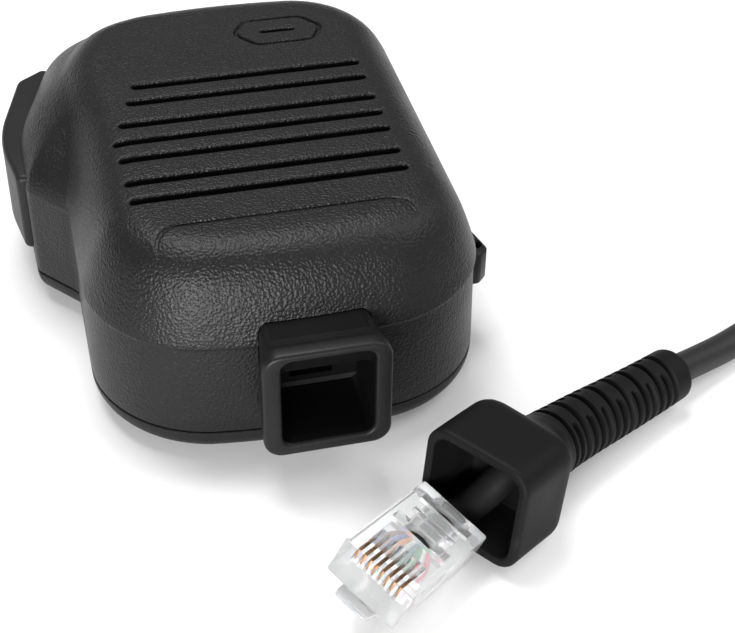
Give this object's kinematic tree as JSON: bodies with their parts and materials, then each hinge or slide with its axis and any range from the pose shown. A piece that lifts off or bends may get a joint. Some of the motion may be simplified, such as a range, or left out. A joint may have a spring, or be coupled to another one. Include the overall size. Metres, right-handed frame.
{
  "type": "hand microphone",
  "caption": "Hand microphone with a side talk button, slotted grille, socket collar and an unplugged coiled lead with two clear modular plugs.",
  "frame": {"origin": "under the middle of the microphone, lead left out, on the surface it lies on", "axes": "+Z out of the front face, -Y out of the socket collar, -X out of the talk button's side"},
  "size_m": [0.2257, 0.1304, 0.034],
  "materials": {
    "shell_plastic": "fine leather grain",
    "cover_plastic": "fine grain",
    "collar_plastic": "smooth satin",
    "button_plastic": "smooth satin",
    "inner_plastic": "moulded",
    "clear_plastic": "clear polycarbonate",
    "soft_rubber": "matte",
    "cord_jacket": "satin",
    "seal_rubber": "matte",
    "plated_steel": "zinc plated",
    "stud_metal": "nickel plated",
    "gold_contact": "gold plated",
    "leaf_metal": "phosphor bronze",
    "board": "black solder resist",
    "wire_skin": "coloured insulation",
    "capsule_metal": "drawn can",
    "cloth": "woven",
    "ivory_plastic": "moulded",
    "label_film": "smooth film"
  },
  "bodies": {
    "microphone": {"front_shell": "shell_plastic", "rear_cover": "cover_plastic", "case_gasket": "seal_rubber", "case_screws": "plated_steel", "connector_collar": "collar_plastic", "label_plate": "label_film", "ptt_pivot_pin": "plated_steel", "ptt_seal": "seal_rubber", "ptt_switch": "inner_plastic", "main_pcb": "board", "pcb_screws": "plated_steel", "preamp_parts": "inner_plastic", "mic_capsule": "capsule_metal", "capsule_holder": "seal_rubber", "capsule_leads": "wire_skin", "port_screen": "cloth", "grille_cloth": "cloth", "modular_jack": "inner_plastic", "jack_contacts": "gold_contact", "lanyard_eye": "collar_plastic", "hanger_stud": "stud_metal", "stud_screw": "plated_steel", "stud_washer": "plated_steel", "plug_body": "clear_plastic", "plug_contacts": "gold_contact", "plug_wires": "wire_skin", "plug_boot": "soft_rubber", "lead_cable": "cord_jacket", "curly_cord": "cord_jacket", "tail_cable": "cord_jacket", "radio_plug_body": "clear_plastic", "radio_plug_contacts": "gold_contact", "radio_plug_wires": "wire_skin", "radio_plug_boot": "soft_rubber"},
    "ptt": {"ptt_button": "button_plastic", "ptt_return_leaf": "leaf_metal"},
    "plunger": {"switch_plunger": "ivory_plastic"},
    "plug_latch_arm": {"plug_latch": "clear_plastic"},
    "radio_plug_latch_arm": {"radio_plug_latch": "clear_plastic"}
  },
  "joints": [
    {"name": "ptt_press", "type": "hinge", "parent": "microphone", "child": "ptt", "pos_m": [-0.0254, 0.039, 0.015], "axis": [0, 0, 1], "range_deg": [0, 2.6], "stiffness_Nm_per_rad": 0.8, "springref_deg": -1.72},
    {"name": "plunger_slide", "type": "slide", "parent": "microphone", "child": "plunger", "axis": [1, 0, 0], "range_m": [0, 0.001]},
    {"name": "plug_latch_press", "type": "hinge", "parent": "microphone", "child": "plug_latch_arm", "pos_m": [0.002, -0.07395, 0.00694], "axis": [-0.5675, 0.7546, 0.3296], "range_deg": [-5, 0], "stiffness_Nm_per_rad": 0.05, "springref_deg": 2.86},
    {"name": "radio_plug_latch_press", "type": "hinge", "parent": "microphone", "child": "radio_plug_latch_arm", "pos_m": [0.1488, 0.0065, 0.0064], "axis": [-1, 0, 0], "range_deg": [-5, 0], "stiffness_Nm_per_rad": 0.05, "springref_deg": 2.86}
  ],
  "couplings": [
    {"joint": "plunger_slide", "follows": "ptt_press", "m_per_rad": 0.0213}
  ]
}
